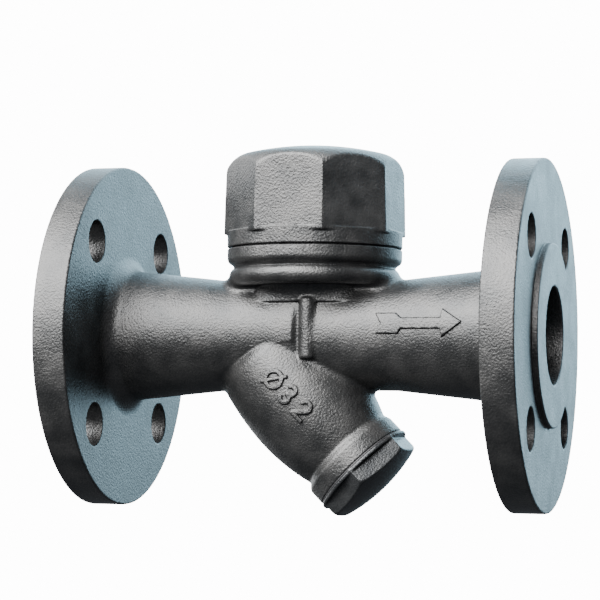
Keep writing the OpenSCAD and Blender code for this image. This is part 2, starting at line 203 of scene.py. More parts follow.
def mark_glyphs(s, t):
    """A diameter sign and two numerals, drawn along s with their tops towards t."""
    half, top = STROKE / 2, (GLYPH_H - STROKE) / 2
    circle = arc(-MARK_PITCH, 0, top - 0.3, 0, 360, 28)
    slash = [(-MARK_PITCH - 2.4, -3.4), (-MARK_PITCH + 2.4, 3.4)]
    bowl = top / 2
    three = arc(0, bowl, bowl, 150, -90) + arc(0, -bowl, bowl, 90, -150)
    hook = top * 0.56
    two = arc(MARK_PITCH, top - hook, hook, 165, -35) + [(MARK_PITCH - hook - 0.1, -top),
                                                      (MARK_PITCH + hook + 0.2, -top)]
    glyphs = stroke(s, t, circle, half)
    glyphs = np.minimum(glyphs, stroke(s, t, slash, half * 0.8))
    glyphs = np.minimum(glyphs, stroke(s, t, three, half))
    return np.minimum(glyphs, stroke(s, t, two, half))


def raised(surface, drawing):
    """A mark of that drawing that stands MARK_H proud of a surface, with soft edges."""
    return round_both(surface - MARK_H, drawing, 0.25)


def casting_outside(p):
    """Pipe, neck with its ring, leg, ribs, raised marks and the spigot for the cap."""
    x, y, z = p.T
    pipe = (np.hypot(y, z) - pipe_radius(x)) / math.hypot(1, PIPE_TAPER)
    rn = np.hypot(x - CAP_X, y)
    landing = np.hypot(np.maximum(rn - PAD_REACH, 0), z - PAD_Z) - PAD_ROUND
    belt = np.hypot(np.maximum(rn - BELT_R + BELT_ROUND, 0), z - BELT_Z) - BELT_ROUND
    core = (rn - CORE_R - CORE_SLOPE * np.maximum(z - CORE_Z, 0)) / math.hypot(1, CORE_SLOPE)
    core = np.maximum(core, between(z, 0, BELT_Z))
    groove = np.maximum(rn - GROOVE_R, between(z, BELT_Z, LAND_Z - 1))
    collar = round_both(rn - RING_R, LAND_Z - RING_H - z, RING_ROUND)
    neck = round_union(np.minimum(np.minimum(belt, core), groove), collar, COLLAR_FILLET)
    neck = round_both(neck, z - LAND_Z, 0.25)
    fade = np.clip((x - CAP_X) ** 2 / SKIRT_REACH ** 2, 0, 1)
    skirt = round_union(pipe - PAD_PROUD, neck, SKIRT_FILLET) + SKIRT_DROP * fade
    skirt = round_both(skirt, landing, 0.6)

    along, across, rl = leg_frame(p)
    tilt_cos, tilt_sin = math.cos(BARREL_TILT), math.sin(BARREL_TILT)
    along_barrel = BARREL_PIVOT + (along - BARREL_PIVOT) * tilt_cos - across * tilt_sin
    across_barrel = (along - BARREL_PIVOT) * tilt_sin + across * tilt_cos
    from_barrel = np.hypot(across_barrel, y)
    bend = np.where(along_barrel < LEG_WIDEST, LEG_ROUND_UP, LEG_ROUND)
    barrel = np.hypot(from_barrel + bend - LEG_R, along_barrel - LEG_WIDEST) - bend
    barrel = round_both(barrel, BARREL_START - along_barrel, BARREL_END_ROUND)
    barrel = round_both(barrel, along - BOSS_START - 1.5, 1.0)
    boss = round_both(round_both(rl - BOSS_R, BOSS_START - along, 2.0), along - BOSS_A, 0.5)
    leg = round_union(barrel, boss, BOSS_FILLET)

    body = round_union(round_union(pipe, neck, NECK_FILLET), skirt, 0.3 + 0.6 * fade)
    rib = np.hypot(x - RIB_X, np.abs(y) - PIPE_R - RIB_PROUD + RIB_R) - RIB_R
    rib = round_both(rib, between(z, RIB_LOW, RIB_HIGH), 1.0)
    notch = np.hypot(x - RIB_X + NOTCH_OFFSET, np.abs(y) - PIPE_R - NOTCH_OUT) - NOTCH_R
    notch = round_both(notch, between(z, RIB_LOW, CORE_Z), 0.8)
    body = round_union(round_cut(body, notch, 0.9), rib, 1.0)
    lower = np.clip((LEG_FILLET_Z - z) / LEG_FILLET_SPAN, 0, 1)
    body = round_union(body, leg, LEG_FILLET + LEG_FILLET_MORE * lower)

    front = y < 0
    arrow = raised(pipe, np.where(front, outline(x - ARROW_X, z - ARROW_Z, ARROW), 9.0))
    around = np.arctan2(across, -y) - MARK_TURN
    glyphs = mark_glyphs(along - MARK_A, np.where(front, around * LEG_R, 9.0))
    mark = raised(barrel, glyphs)
    body = round_union(body, np.minimum(arrow, mark), 0.2)

    angle = np.arctan2(y, x - CAP_X)
    spigot = round_both(rn - screw(SPIGOT_R, z, angle), z - SPIGOT_TOP, 0.6)
    spigot = np.maximum(spigot, LAND_Z + THREAD_RELIEF - z)
    relief = np.maximum(rn - SPIGOT_R + THREAD_DEPTH, between(z, LAND_Z - 3, SPIGOT_TOP - 1))
    return np.minimum(body, np.minimum(spigot, relief))


def port(x, rx):
    """The bore along the pipe, wide at each face and narrowing to the cast bore."""
    depth = MIDDLE - np.abs(x - MIDDLE)
    slope = (PORT_R - BORE_R) / (TAPER_END - FLANGE_BACK)
    radius = PORT_R - slope * np.clip(depth - FLANGE_BACK, 0, TAPER_END - FLANGE_BACK)
    return (rx - radius) / math.hypot(1, slope)


def casting_hollow(p):
    """Everything that is cored, bored or drilled out of the casting."""
    x, y, z = p.T
    along, across, rl = leg_frame(p)
    rn = np.hypot(x - CAP_X, y)
    bore = port(x, np.hypot(y, z))
    inlet = np.maximum(np.maximum(bore, x - INLET_END), along - SCREEN_LAND + 3)
    outlet = np.maximum(bore, CAP_X + 21 - x)
    mouth = ring(rl, along, 0, SCREEN_R - 1, -2, SCREEN_LAND + 1)
    step = ring(rl, along, 0, RECESS_R, SCREEN_LAND, SCREEN_LAND + 6)
    cavity = np.hypot(rl + CAVITY_ROUND - CAVITY_R, along - CAVITY_WIDEST) - CAVITY_ROUND
    cavity = np.maximum(cavity, between(along, SCREEN_LAND + 3, THREAD_START + 0.5))
    crest = screw(PLUG_THREAD_R + THREAD_GAP, along, np.arctan2(y, -across))
    plug_hole = np.maximum(rl - crest, THREAD_START - along)
    lead_in = rl - PLUG_THREAD_R - THREAD_GAP - np.maximum(0, along - BOSS_A + 0.8)
    plug_hole = np.minimum(plug_hole, np.maximum(lead_in, BOSS_A - 1.2 - along))
    riser = ring(rn, z, 0, RISER_R, RISER_FOOT, POCKET_Z + 1)
    pocket = np.maximum(rn - POCKET_R, POCKET_Z - z)
    channel = ring(rn, z, CHANNEL_R0, CHANNEL_R1, POCKET_Z - 2.5, POCKET_Z + 1)
    drop = ring(np.hypot(x - CAP_X - DROP_OFFSET, y), z, 0, DROP_R, 2.5, POCKET_Z - 2)
    outlet_neck = ring(np.hypot(y, z - 2.5), x, 0, 7.5, CAP_X + 9, CAP_X + 23)
    hollow = round_union(round_union(inlet, mouth, 0.8), np.minimum(step, cavity), 0.3)
    for other in (plug_hole, riser, channel, pocket, drop, outlet, outlet_neck):
        hollow = np.minimum(hollow, other)
    return hollow


def casting(p):
    return round_cut(casting_outside(p), casting_hollow(p), 0.3)


def flange(p):
    """The inlet flange with its hub; the outlet's is its mirror image."""
    x, y, z = p.T
    rx = np.hypot(y, z)
    disc = round_both(rx - FLANGE_R, between(x, RAISED_T, FLANGE_BACK), 0.6)
    inside = FLANGE_BACK - 5
    hub = np.maximum((rx - pipe_radius(x)) / math.hypot(1, PIPE_TAPER), inside - x)
    face = round_both(rx - RAISED_R, between(x, 0, inside), 0.35)
    solid = np.minimum(round_union(disc, hub, HUB_FILLET), face)
    bolt = BOLT_CIRCLE_R / math.sqrt(2)
    nearest = np.hypot(np.abs(y) - bolt, np.abs(z) - bolt)
    solid = round_cut(solid, nearest - BOLT_R, 0.4)
    return round_cut(solid, port(x, rx), 0.5)


# ---------------------------------------------------------------- cap and plug
def flats(s, t, count, half_width, turn):
    """Distance from a prism with that many flats, in its plane."""
    step = 2 * np.pi / count
    angle = np.arctan2(t, s) - turn
    angle = (angle + step / 2) % step - step / 2
    return np.hypot(s, t) * np.cos(angle) - half_width


def dome(r, along, top, dome_r, edge_r, shoulder_r):
    """A shallow dome with its crown at top and a round shoulder down to radius edge_r."""
    sphere = np.hypot(r, along - top + dome_r) - dome_r
    return round_both(sphere, r - edge_r, shoulder_r)


def cap(p):
    """The domed octagon cap, hollow, with its collar and its inner thread."""
    x, y, z = (p - np.array([CAP_X, 0, 0])).T
    r, angle = np.hypot(x, y), np.arctan2(y, x)
    draft = math.tan(math.radians(OCTAGON_DRAFT)) * (z - COLLAR_TOP)
    corner = OCTAGON_AF / 2 / math.cos(math.pi / 8)
    sides = flats(x, y, 8, OCTAGON_AF / 2, math.radians(OCTAGON_TURN)) + draft
    head = round_both(dome(r, z, CAP_TOP, 101.0, corner, 6.5), sides, 0.45)
    head = round_both(head, COLLAR_TOP - z, 0.5)
    collar = round_both(r - RING_R - 0.05, between(z, CAP_Z, COLLAR_TOP + 2), 0.3)
    collar = np.maximum(collar, z - COLLAR_TOP - 1)
    solid = round_union(head, collar, 0.5)
    thread = np.maximum(r - screw(SPIGOT_R + THREAD_GAP, z, angle), z - JACKET_Z - 0.5)
    lead_in = np.maximum(r - SPIGOT_R - THREAD_GAP - np.maximum(0, CAP_Z + 1 - z), z - CAP_Z - 1.5)
    jacket = ring(r, z, 0, JACKET_R, JACKET_Z, JACKET_TOP)
    jacket = round_cut(jacket, np.maximum(r - PAD_R, COVER_TOP + 0.05 - z), 1.0)
    return round_cut(solid, np.minimum(np.minimum(thread, lead_in), jacket), 0.35)


def plug(p):
    """The strainer plug: six-sided head with a rim, threaded shank and a recess for the tube."""
    along, across, r = leg_frame(p)
    y = p[:, 1]
    angle = np.arctan2(y, -across)
    rim = round_both(r - RIM_R, between(along, PLUG_A, PLUG_A + RIM_T), 0.45)
    sides = flats(across, y, 6, HEXAGON_AF / 2, 0.0)
    head = round_both(dome(r, along, HEAD_TOP, 58.0, HEAD_R, 2.2), sides, 0.4)
    head = np.maximum(head, PLUG_A - along)
    shank = round_both(r - screw(PLUG_THREAD_R, along, angle), BOSS_A - 9.3 - along, 0.5)
    shank = np.maximum(shank, along - PLUG_A + THREAD_RELIEF)
    relief = ring(r, along, 0, PLUG_THREAD_R - THREAD_DEPTH, BOSS_A - 8, PLUG_A + 1)
    solid = round_union(np.minimum(rim, np.minimum(shank, relief)), head, 0.5)
    return round_cut(solid, np.maximum(r - RECESS_R, along - SCREEN_A1 - 0.2), 0.4)


# ---------------------------------------------------------------- meshing
BLOCK = 8


def sample(field, low, shape, step):
    """The field on a grid: in full in the blocks near the surface, and as a sign elsewhere."""
    blocks = np.ceil(np.array(shape) / BLOCK).astype(int)
    index = np.stack(np.meshgrid(*[np.arange(b) for b in blocks], indexing="ij"), -1).reshape(-1, 3)
    centre = field(low + (index * BLOCK + (BLOCK - 1) / 2) * step)
    reach = BLOCK * step * 1.15 + step
    values = np.repeat(np.sign(centre), BLOCK ** 3).astype(np.float32)
    values = values.reshape(-1, BLOCK, BLOCK, BLOCK)
    near = np.flatnonzero(np.abs(centre) < reach)
    local = np.stack(np.meshgrid(*[np.arange(BLOCK)] * 3, indexing="ij"), -1).reshape(-1, 3)
    for part in np.array_split(near, max(1, len(near) // 400)):
        points = low + (index[part][:, None] * BLOCK + local[None]) * step
        values[part] = field(points.reshape(-1, 3)).reshape(-1, BLOCK, BLOCK, BLOCK)
    values = values.reshape(*blocks, BLOCK, BLOCK, BLOCK).transpose(0, 3, 1, 4, 2, 5)
    return values.reshape(blocks * BLOCK)


def gradient(field, p, reach=0.02):
    """The field's unit slope at each point."""
    g = np.zeros_like(p)
    for corner in ((1, -1, -1), (-1, -1, 1), (-1, 1, -1), (1, 1, 1)):
        corner = np.array(corner, float)
        g += corner * field(p + corner * reach)[:, None]
    return g / np.maximum(np.linalg.norm(g, axis=1), 1e-9)[:, None]


def settle(field, p, step, rounds):
    """Moves points onto the surface."""
    for _ in range(rounds):
        d = np.clip(field(p), -step / 2, step / 2)
        p = p - d[:, None] * gradient(field, p)
    return p


def polygonise(field, low, high, step):
    """Vertices and quads of the field's surface: one vertex per grid cell that it crosses."""
    low = np.array(low, float) - 2 * step
    shape = np.ceil((np.array(high) + 2 * step - low) / step).astype(int) + 1
    values = sample(field, low, shape, step)
    inside = values < 0
    count = np.zeros(np.array(inside.shape) - 1, np.uint8)
    corners = [(i, j, k) for i in (0, 1) for j in (0, 1) for k in (0, 1)]
    n = count.shape
    for i, j, k in corners:
        count += inside[i:i + n[0], j:j + n[1], k:k + n[2]]
    cells = np.argwhere((count > 0) & (count < 8))
    number = np.full(n, -1, np.int32)
    number[tuple(cells.T)] = np.arange(len(cells))
    at = {c: values[tuple((cells + c).T)] for c in corners}
    total, crossings = np.zeros((len(cells), 3)), np.zeros(len(cells))
    for c in corners:
        for axis in range(3):
            if c[axis]:
                continue
            other = tuple(1 if a == axis else c[a] for a in range(3))
            f0, f1 = at[c], at[other]
            cut = (f0 < 0) != (f1 < 0)
            t = np.where(cut, f0 / np.where(cut, f0 - f1, 1), 0)
            point = np.array(c, float) + t[:, None] * np.eye(3)[axis]
            total += np.where(cut[:, None], point, 0)
            crossings += cut
    vertices = low + (cells + total / crossings[:, None]) * step
    quads = []
    for axis in range(3):
        b, c = (axis + 1) % 3, (axis + 2) % 3
        one, two = [slice(None)] * 3, [slice(None)] * 3
        one[axis], two[axis] = slice(None, -1), slice(1, None)
        edge = inside[tuple(one)] != inside[tuple(two)]
        edges = np.argwhere(edge)
        edges = edges[np.all((edges[:, [b, c]] > 0) & (edges[:, [b, c]] < np.array(n)[[b, c]]), 1)]
        step_b, step_c = np.eye(3, dtype=int)[b], np.eye(3, dtype=int)[c]
        around = [edges - step_b - step_c, edges - step_c, edges, edges - step_b]
        quad = np.stack([number[tuple(r.T)] for r in around], 1)
        outward = inside[tuple(edges.T)]
        quads.append(np.where(outward[:, None], quad, quad[:, ::-1]))
    quads = np.concatenate(quads)
    return settle(field, relax(settle(field, vertices, step, 2), quads), step, 3), quads


def relax(p, quads):
    """Moves each vertex half way to the middle of its neighbours."""
    ends = np.concatenate([quads[:, [i, (i + 1) % 4]] for i in range(4)])
    total = np.stack([np.bincount(ends[:, 0], p[ends[:, 1], a], len(p)) for a in range(3)], 1)
    share = np.bincount(ends[:, 0], minlength=len(p))[:, None]
    return p + 0.5 * (total / np.maximum(share, 1) - p)


def new_mesh(name, vertices, faces):
    """A smooth-shaded object from vertices in millimetres."""
    mesh = bpy.data.meshes.new(name)
    if isinstance(faces, np.ndarray):
        mesh.vertices.add(len(vertices))
        mesh.vertices.foreach_set("co", (np.asarray(vertices) * MM).astype(np.float32).ravel())
        mesh.loops.add(faces.size)
        mesh.loops.foreach_set("vertex_index", faces.astype(np.int32).ravel())
        mesh.polygons.add(len(faces))
        starts = np.arange(0, faces.size, faces.shape[1], dtype=np.int32)
        mesh.polygons.foreach_set("loop_start", starts)
        mesh.update(calc_edges=True)
    else:
        mesh.from_pydata((np.asarray(vertices) * MM).tolist(), [], faces)
    mesh.shade_smooth()
    piece = bpy.data.objects.new(name, mesh)
    bpy.context.scene.collection.objects.link(piece)
    return piece


def bake_modifiers(piece):
    """Leaves the piece with the mesh that its modifiers make."""
    graph = bpy.context.evaluated_depsgraph_get()
    mesh = bpy.data.meshes.new_from_object(piece.evaluated_get(graph))
    piece.modifiers.clear()
    piece.data = mesh
    mesh.name = piece.name


def trim(piece, plane_x, keep):
    """Cuts the piece off square at x = plane_x and closes it; keep, +1 or -1, is the side kept."""
    work = bmesh.new()
    work.from_mesh(piece.data)
    everything = work.verts[:] + work.edges[:] + work.faces[:]
    cut = bmesh.ops.bisect_plane(work, geom=everything, dist=1e-7, plane_co=(plane_x * MM, 0, 0),
                                 plane_no=(-keep, 0, 0), clear_outer=True)
    edges = [e for e in cut["geom_cut"] if isinstance(e, bmesh.types.BMEdge)]
    bmesh.ops.triangle_fill(work, edges=edges, use_beauty=True)
    work.to_mesh(piece.data)
    work.free()


def points_of(mesh):
    """The mesh's vertices in millimetres."""
    co = np.empty(len(mesh.vertices) * 3, np.float32)
    mesh.vertices.foreach_get("co", co)
    return co.reshape(-1, 3).astype(float) / MM


def dress(piece, field):
    """Shades the piece by its field, and stores how sharply convex it is as its edge value."""
    mesh = piece.data
    points = points_of(mesh)
    normal = gradient(field, points, 0.06)
    side = np.cross(normal, np.where(np.abs(normal[:, :1]) < 0.6, [[1.0, 0, 0]], [[0, 1.0, 0]]))
    side /= np.linalg.norm(side, axis=1)[:, None]
    reach = 0.6
    ways = (side, -side, np.cross(normal, side), -np.cross(normal, side))
    convex = sum(field(points + reach * way) for way in ways) / (len(ways) * reach)
    edge = mesh.attributes.new("edge", "FLOAT", "POINT")
    edge.data.foreach_set("value", np.clip(convex, -1, 1).astype(np.float32))
    mesh.shade_smooth()
    mesh.normals_split_custom_set_from_vertices(normal.tolist())


def field_piece(name, field, low, high, step, faces_kept, trims=()):
    """A piece of metal: the field's surface, thinned where it is flat, with the field's normals."""
    vertices, quads = polygonise(field, low, high, step * (1))
    piece = new_mesh(name, vertices, quads)
    for plane_x, keep in trims:
        trim(piece, plane_x, keep)
    if 2 * len(quads) > faces_kept:
        thin = piece.modifiers.new("thin", "DECIMATE")
        thin.ratio = faces_kept / (2 * len(quads))
        bake_modifiers(piece)
    dress(piece, field)
    return piece


def mirrored(piece, name, field):
    """The piece's mirror image about the middle of the line, dressed by the mirrored field."""
    mesh = piece.data
    points = points_of(mesh) * [-1, 1, 1] + [FACE_TO_FACE, 0, 0]
    faces = [list(f.vertices)[::-1] for f in mesh.polygons]
    twin = new_mesh(name, points, faces)
    dress(twin, field)
    return twin


# ---------------------------------------------------------------- turned and woven pieces
def lathe(name, profile, origin, axis, segments=160):
    """A closed ring turned from (radius, height) corners, in millimetres, about an axis."""
    axis = Vector(axis).normalized()
    side = axis.orthogonal().normalized()
    other = axis.cross(side)
    vertices, faces = [], []
    for i in range(segments):
        turn = 2 * math.pi * i / segments
        out = side * math.cos(turn) + other * math.sin(turn)
        vertices += [Vector(origin) + out * r + axis * h for r, h in profile]
    n = len(profile)
    for i in range(segments):
        for j in range(n):
            a, b = i * n + j, i * n + (j + 1) % n
            c, d = (i + 1) % segments * n + (j + 1) % n, (i + 1) % segments * n + j
            faces.append((a, d, c, b))
    piece = new_mesh(name, [tuple(v) for v in vertices], faces)
    fix_outward(piece)
    return piece


def fix_outward(piece):
    """Turns every face outward."""
    work = bmesh.new()
    work.from_mesh(piece.data)
    bmesh.ops.recalc_face_normals(work, faces=work.faces[:])
    work.to_mesh(piece.data)
    work.free()


def rounded_section(r0, r1, h0, h1, soft, steps=3):
    """A rectangle in (radius, height) with its corners rounded."""
    section = []
    centres = ((r1 - soft, h0 + soft, -90), (r1 - soft, h1 - soft, 0),
               (r0 + soft, h1 - soft, 90), (r0 + soft, h0 + soft, 180))
    for r, h, start in centres:
        section += arc(r, h, soft, start, start + 90, steps + 1)
    return section


def tube_mesh(path, r, sides, closed):
    """Vertices and quads of one wire along a path of points."""
    path = np.asarray(path)
    ahead = np.roll(path, -1, 0) - np.roll(path, 1, 0)
    if not closed:
        ahead[0], ahead[-1] = path[1] - path[0], path[-1] - path[-2]
    ahead /= np.linalg.norm(ahead, axis=1)[:, None]
    out = path - (path @ LEG_AXIS)[:, None] * LEG_AXIS
    out = out - np.array([LEG_X, 0, 0]) + (LEG_X * LEG_AXIS[0]) * LEG_AXIS
    out /= np.linalg.norm(out, axis=1)[:, None]
    across = np.cross(ahead, out)
    turns = 2 * np.pi * np.arange(sides) / sides
    cosine, sine = np.cos(turns)[None, :, None], np.sin(turns)[None, :, None]
    loop = out[:, None] * cosine + across[:, None] * sine
    vertices = (path[:, None] + r * loop).reshape(-1, 3)
    n = len(path)
    i, j = np.meshgrid(np.arange(n if closed else n - 1), np.arange(sides), indexing="ij")
    a, b = i * sides + j, i * sides + (j + 1) % sides
    c, d = (i + 1) % n * sides + (j + 1) % sides, (i + 1) % n * sides + j
    return vertices, np.stack([a, b, c, d], -1).reshape(-1, 4)


def woven_screen(name):
    """The fine mesh that lines the strainer: wires along it and round it, over and under."""
    wire_r, sides = 0.05, 3
    low, high = (SCREEN_A0 + 0.5, SCREEN_A1 - 0.5)
    middle_r = SCREEN_R - SCREEN_WALL - 0.05 - 2 * wire_r
    warps = 92
    pitch = 2 * math.pi * middle_r / warps
    wefts = int((high - low) / pitch)
    e1, e2 = np.array([0.0, 1.0, 0.0]), LEG_SIDE
    parts, faces = [], []

    def place(radius, turn, a):
        out = e1[None] * np.cos(turn)[:, None] + e2[None] * np.sin(turn)[:, None]
        return np.array([LEG_X, 0, 0]) + out * radius[:, None] + a[:, None] * LEG_AXIS

    def add(path, closed):
        v, f = tube_mesh(path, wire_r, sides, closed)
        faces.append(f + sum(len(w) for w in parts))
        parts.append(v)

    for k in range(warps):
        steps = np.arange(2 * wefts + 1)
        radius = middle_r + wire_r * (-1) ** k * np.sin(np.pi * steps / 2)
        turn = np.full(len(steps), 2 * np.pi * k / warps)
        add(place(radius, turn, low + steps * pitch / 2), False)
    for k in range(wefts):
        steps = np.arange(2 * warps)
        radius = middle_r - wire_r * (-1) ** k * np.cos(np.pi * steps / 2)
        height = np.full(len(steps), low + (k + 0.5) * pitch)
        add(place(radius, np.pi * steps / warps, height), True)
    return new_mesh(name, np.concatenate(parts), np.concatenate(faces))


# ---------------------------------------------------------------- valve pieces, as fields
def seat(p):
    """The seat: an inlet hole in the middle, a groove round it and three drilled outlets."""
    x, y, z = (p - np.array([CAP_X, 0, 0])).T
    r = np.hypot(x, y)
    solid = round_both(r - SEAT_R, between(z, SEAT_Z, SEAT_TOP), 0.3)
    hollow = np.minimum(r - ORIFICE_R, np.maximum(r - RISER_R, z - SEAT_Z - 2))
    dish = ring(r, z, ORIFICE_R + 2.2, SEAT_GROOVE_R, SEAT_TOP - 2, SEAT_TOP + 2)
    hollow = np.minimum(hollow, dish)
    angle = (np.arctan2(y, x) - math.radians(30) + np.pi / 3) % (2 * np.pi / 3) - np.pi / 3
    middle_r = (CHANNEL_R0 + SEAT_GROOVE_R) / 2
    drilled = np.hypot(r * np.cos(angle) - middle_r, r * np.sin(angle)) - SEAT_HOLE_R
    return round_cut(solid, np.minimum(hollow, drilled), 0.15)


def disc(p):
    """The free disc, with a groove under it and a rebate round its top."""
    x, y, z = (p - np.array([CAP_X, 0, 0])).T
    r = np.hypot(x, y)
    solid = round_both(r - DISC_R, between(z, SEAT_TOP, SEAT_TOP + DISC_T), 0.25)
    groove = ring(r, z, 6, 9, SEAT_TOP - 1, SEAT_TOP + 0.8)
    rebate = np.maximum(DISC_R - 1.5 - r, SEAT_TOP + DISC_T - 0.8 - z)
    return round_cut(solid, np.minimum(groove, rebate), 0.15)


def inner_cover(p):
    """The shell over the disc, with the pad that the cap presses on."""
    x, y, z = (p - np.array([CAP_X, 0, 0])).T
    r = np.hypot(x, y)
    solid = round_both(r - SEAT_R, z - COVER_FLAT, 3.0)
    pad = round_both(r - PAD_R + 1, between(z, COVER_FLAT - 2, COVER_TOP), 0.6)
    solid = np.maximum(round_union(solid, pad, 0.5), SEAT_TOP - z)
    return round_cut(solid, ring(r, z, 0, 14, SEAT_TOP - 1, SEAT_TOP + DISC_T + 1.25), 0.3)


# ---------------------------------------------------------------- materials
class Shader:
    """A material being built: a Principled shader and short calls for the nodes behind it."""

    def __init__(self, name, metallic, ior=1.5):
        self.material = bpy.data.materials.new(name)
        self.material.use_nodes = True
        self.tree = self.material.node_tree
        self.shader = self.tree.nodes["Principled BSDF"]
        self.shader.inputs["Metallic"].default_value = metallic
        self.shader.inputs["IOR"].default_value = ior
        self.where = self.node("ShaderNodeTexCoord").outputs["Object"]

    def node(self, kind, **settings):
        node = self.tree.nodes.new(kind)
        for key, value in settings.items():
            setattr(node, key, value)
        return node

    def link(self, value, socket):
        if isinstance(value, bpy.types.NodeSocket):
            self.tree.links.new(value, socket)
        else:
            socket.default_value = value

    def noise(self, size_mm, detail=2.0, stretch=None):
        node = self.node("ShaderNodeTexNoise")
        node.inputs["Scale"].default_value = 1 / (size_mm * MM)
        node.inputs["Detail"].default_value = detail
        where = self.where
        if stretch:
            mapping = self.node("ShaderNodeMapping")
            self.link(where, mapping.inputs["Vector"])
            mapping.inputs["Scale"].default_value = stretch
            where = mapping.outputs["Vector"]
        self.link(where, node.inputs["Vector"])
        return node.outputs["Fac"]

    def spread(self, value, low, high, to_low=0.0, to_high=1.0):
        node = self.node("ShaderNodeMapRange", interpolation_type="SMOOTHSTEP")
        for key, v in (("Value", value), ("From Min", low), ("From Max", high),
                       ("To Min", to_low), ("To Max", to_high)):
            self.link(v, node.inputs[key])
        return node.outputs["Result"]

    def math(self, operation, a, b):
        node = self.node("ShaderNodeMath", operation=operation)
        self.link(a, node.inputs[0])
        self.link(b, node.inputs[1])
        return node.outputs[0]

    def mix(self, share, a, b):
        node = self.node("ShaderNodeMix", data_type="RGBA")
        self.link(share, node.inputs["Factor"])
        for value, socket in ((a, node.inputs[6]), (b, node.inputs[7])):
            self.link((*value, 1.0) if isinstance(value, tuple) else value, socket)
        return node.outputs[2]

    def bump(self, height, depth_mm, under=None):
        node = self.node("ShaderNodeBump")
        node.inputs["Strength"].default_value = 1.0
        node.inputs["Distance"].default_value = depth_mm * MM
        self.link(height, node.inputs["Height"])
        if under:
            self.link(under, node.inputs["Normal"])
        return node.outputs["Normal"]

    def edge(self):
        """The stored edge value: above 0 on convex edges and under 0 in hollows."""
        return self.node("ShaderNodeAttribute", attribute_name="edge").outputs["Fac"]

    def finish(self, colour, roughness, normal):
        self.link(colour, self.shader.inputs["Base Color"])
        self.link(roughness, self.shader.inputs["Roughness"])
        self.link(normal, self.shader.inputs["Normal"])
        return self.material


def cast_skin(name, dark, light, grain_mm, grain_depth, rough):
    """Shot-blasted casting under a thin coat: grains, mottling, convex edges lightened as wear and
    painted highlight, hollows darkened as painted shade.
    """
    s = Shader(name, METALLIC)
    grains, grit = s.noise(grain_mm, 1.0), s.noise(grain_mm / 3, 3.0)
    patches, clouds = s.noise(9.0, 3.0), s.noise(42.0, 2.0)
    mottle = s.math("ADD", s.math("MULTIPLY", patches, 0.6), s.math("MULTIPLY", grit, 0.4))
    colour = s.mix(s.spread(mottle, 0.3, 0.7), dark, light)
    colour = s.mix(s.spread(clouds, 0.45, 0.7, 0, 0.2), colour, tuple(0.8 * c for c in dark))
    edge = s.edge()
    # Convex edges lightened in grit-speckled patches: partly wear, partly painted highlight.
    wear_and_edge_highlight = s.math("MULTIPLY", s.spread(edge, 0.2, 0.5), s.spread(grit, 0.3, 0.6, 0.35, 1.0))
    colour = s.mix(wear_and_edge_highlight, colour, tuple(min(1.0, 1.9 * c) for c in light))
    # Painted shade: hollows and creases darkened towards a third of the dark tone.
    colour = s.mix(s.spread(edge, -0.08, -0.4, 0, 0.55), colour, tuple(0.35 * c for c in dark))
    uneven = s.spread(s.math("ADD", patches, grit), 0.7, 1.3, rough - 0.07, rough + 0.09)
    height = s.math("ADD", grains, s.math("MULTIPLY", grit, 0.25))
    normal = s.bump(height, grain_depth, s.bump(patches, 0.05))
    return s.finish(colour, uneven, normal)


def turned_metal(name, colour, light, rough, lay_mm, centre, axis):
    """Lathe-turned metal: fine rings round an axis, with faint stains, and convex edges lightened
    as painted highlight.
    """
    s = Shader(name, 1.0)
    mapping = s.node("ShaderNodeMapping", vector_type="TEXTURE")
    mapping.inputs["Location"].default_value = centre
    mapping.inputs["Rotation"].default_value = Vector(axis).to_track_quat("Z", "Y").to_euler()
    s.link(s.where, mapping.inputs["Vector"])
    split = s.node("ShaderNodeSeparateXYZ")
    s.link(mapping.outputs["Vector"], split.inputs[0])
    x, y = split.outputs["X"], split.outputs["Y"]
    radius = s.math("POWER", s.math("ADD", s.math("MULTIPLY", x, x), s.math("MULTIPLY", y, y)), 0.5)
    rings = s.node("ShaderNodeTexNoise", noise_dimensions="2D")
    rings.inputs["Scale"].default_value = 1 / (lay_mm * MM)
    rings.inputs["Detail"].default_value = 3.0
    place = s.node("ShaderNodeCombineXYZ")
    s.link(radius, place.inputs[0])
    s.link(split.outputs["Z"], place.inputs[1])
    s.link(place.outputs[0], rings.inputs["Vector"])
    stains = s.noise(6.0, 3.0)
    lay = rings.outputs["Fac"]
    tone = s.math("ADD", s.math("MULTIPLY", lay, 0.5), s.math("MULTIPLY", stains, 0.5))
    base = s.mix(s.spread(tone, 0.35, 0.65), colour, light)
    # Painted highlight: convex edges lightened towards a lighter tone.
    edge_highlight_tone = tuple(min(1.0, 1.3 * c) for c in light)
    base = s.mix(s.spread(s.edge(), 0.1, 0.5, 0, 0.6), base, edge_highlight_tone)
    uneven = s.spread(stains, 0.3, 0.7, rough - 0.05, rough + 0.08)
    return s.finish(base, uneven, s.bump(lay, 0.02, s.bump(stains, 0.01)))


def graphite_sheet():
    """Dark pressed graphite with fine flakes."""
    s = Shader("graphite", 0.35)
    flakes, crush = s.noise(0.5, 3.0, (1, 1, 3)), s.noise(2.5, 2.0)
    colour = s.mix(s.spread(flakes, 0.35, 0.65), (0.018, 0.018, 0.02), (0.055, 0.055, 0.06))
    normal = s.bump(flakes, 0.06, s.bump(crush, 0.05))
    return s.finish(colour, s.spread(crush, 0.3, 0.7, 0.42, 0.62), normal)


